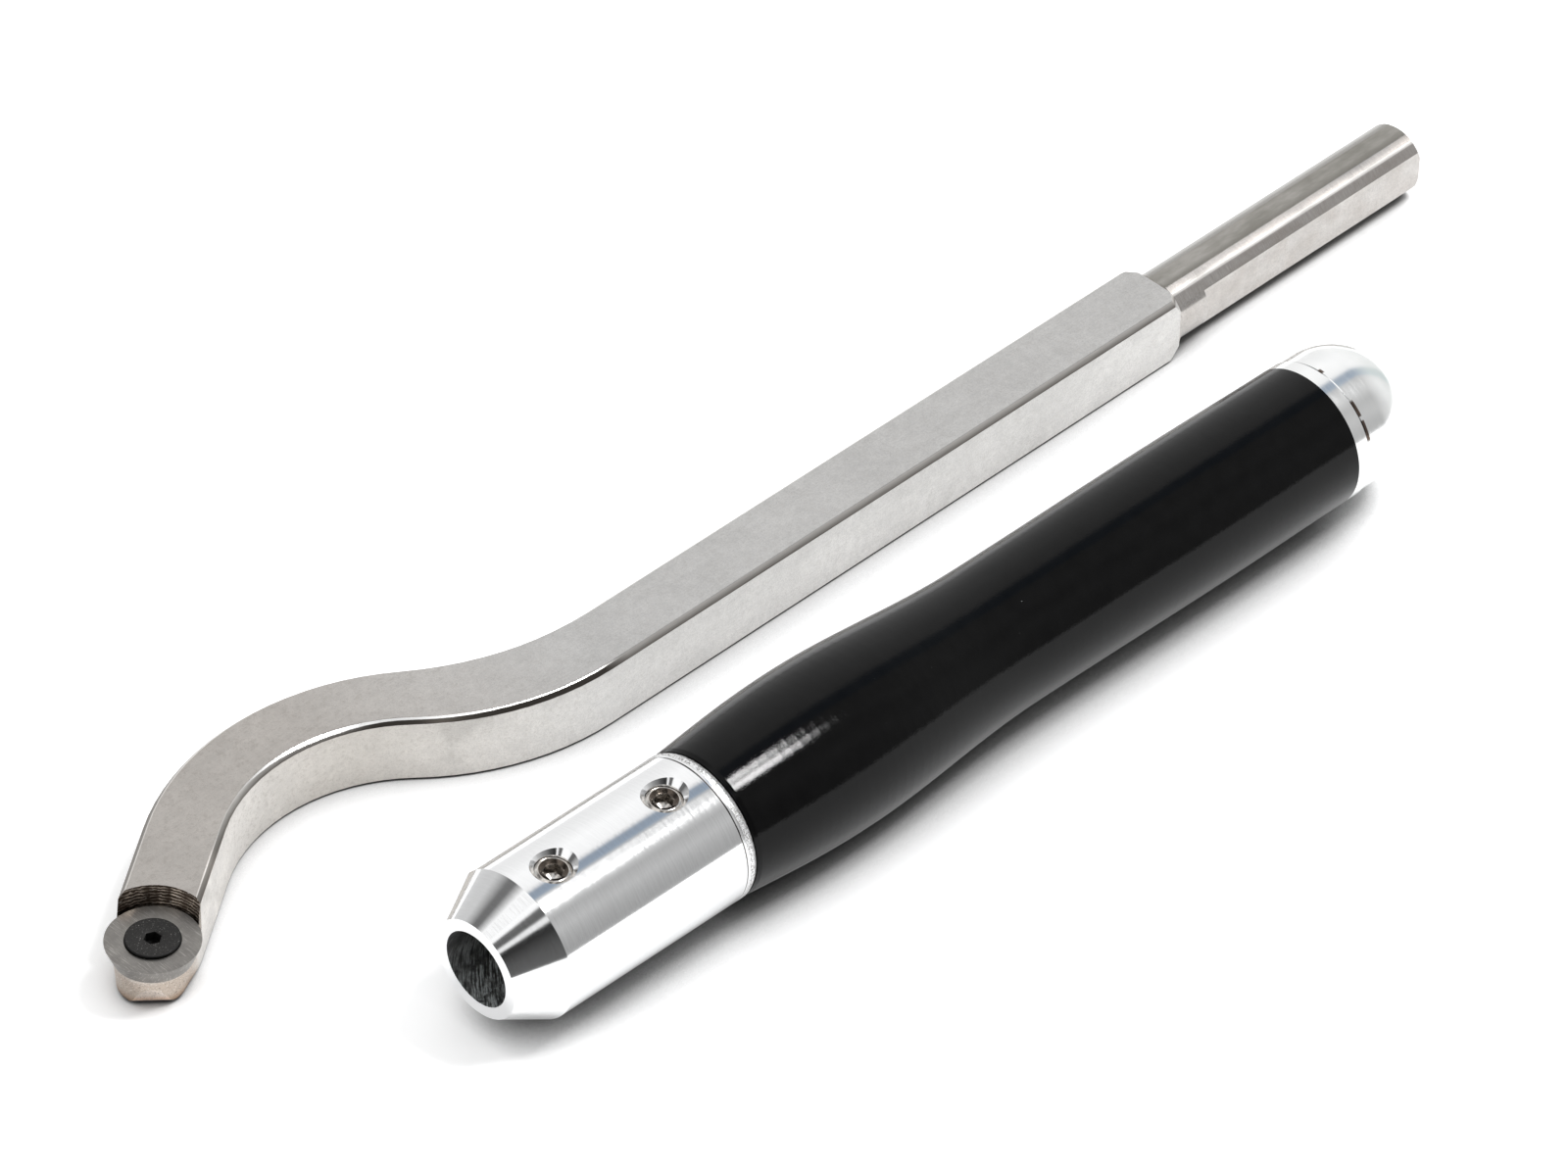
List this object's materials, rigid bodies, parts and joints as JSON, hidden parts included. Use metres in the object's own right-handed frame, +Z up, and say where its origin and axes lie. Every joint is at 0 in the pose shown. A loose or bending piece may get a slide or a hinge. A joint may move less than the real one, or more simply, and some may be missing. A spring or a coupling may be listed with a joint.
{
  "type": "swan neck hollowing tool",
  "caption": "Woodturning hollowing tool: square steel swan neck bar with a round carbide cutter, lying beside its turned handle with ferrule, set screws and domed end cap.",
  "frame": {"origin": "middle of the laid-out tool's box, on the bench", "axes": "+X along the handle's axis from its nose to its domed cap, +Z up from the bench, the bar on the +Y side"},
  "size_m": [0.2962, 0.0842, 0.0291],
  "materials": {
    "bar_steel": "ground, satin",
    "carbide": "lapped, mid-grey",
    "black_steel": "black oxide",
    "screw_steel": "plain bright steel",
    "polished_aluminium": "turned and polished",
    "black_lacquer": "gloss black lacquer"
  },
  "bodies": {
    "handle": {"ferrule": "polished_aluminium", "spacer_ring": "polished_aluminium", "grip": "black_lacquer", "rear_ferrule": "polished_aluminium"},
    "bar": {"shank_bar": "bar_steel"},
    "cutter": {"carbide_cutter": "carbide"},
    "cutter_screw": {"cutter_screw": "black_steel"},
    "front_set_screw": {"front_set_screw": "screw_steel"},
    "rear_set_screw": {"rear_set_screw": "screw_steel"},
    "end_cap": {"end_cap": "polished_aluminium"}
  },
  "joints": [
    {"name": "bar_lift", "type": "slide", "parent": "handle", "child": "bar", "axis": [0, 0, 1], "range_m": [0, 0.08]},
    {"name": "cutter_turn", "type": "hinge", "parent": "bar", "child": "cutter", "pos_m": [-0.14051, 0.01518, 0.0081], "axis": [0, 0, 1], "continuous": true},
    {"name": "cutter_screw_out", "type": "slide", "parent": "bar", "child": "cutter_screw", "axis": [0, 0, 1], "range_m": [0, 0.009]},
    {"name": "front_set_screw_travel", "type": "slide", "parent": "handle", "child": "front_set_screw", "axis": [0, -0.0941, 0.9956], "range_m": [-0.0012, 0.006]},
    {"name": "rear_set_screw_travel", "type": "slide", "parent": "handle", "child": "rear_set_screw", "axis": [0, -0.0941, 0.9956], "range_m": [-0.0012, 0.006]},
    {"name": "end_cap_out", "type": "slide", "parent": "handle", "child": "end_cap", "axis": [1, 0, 0], "range_m": [0, 0.014]}
  ]
}
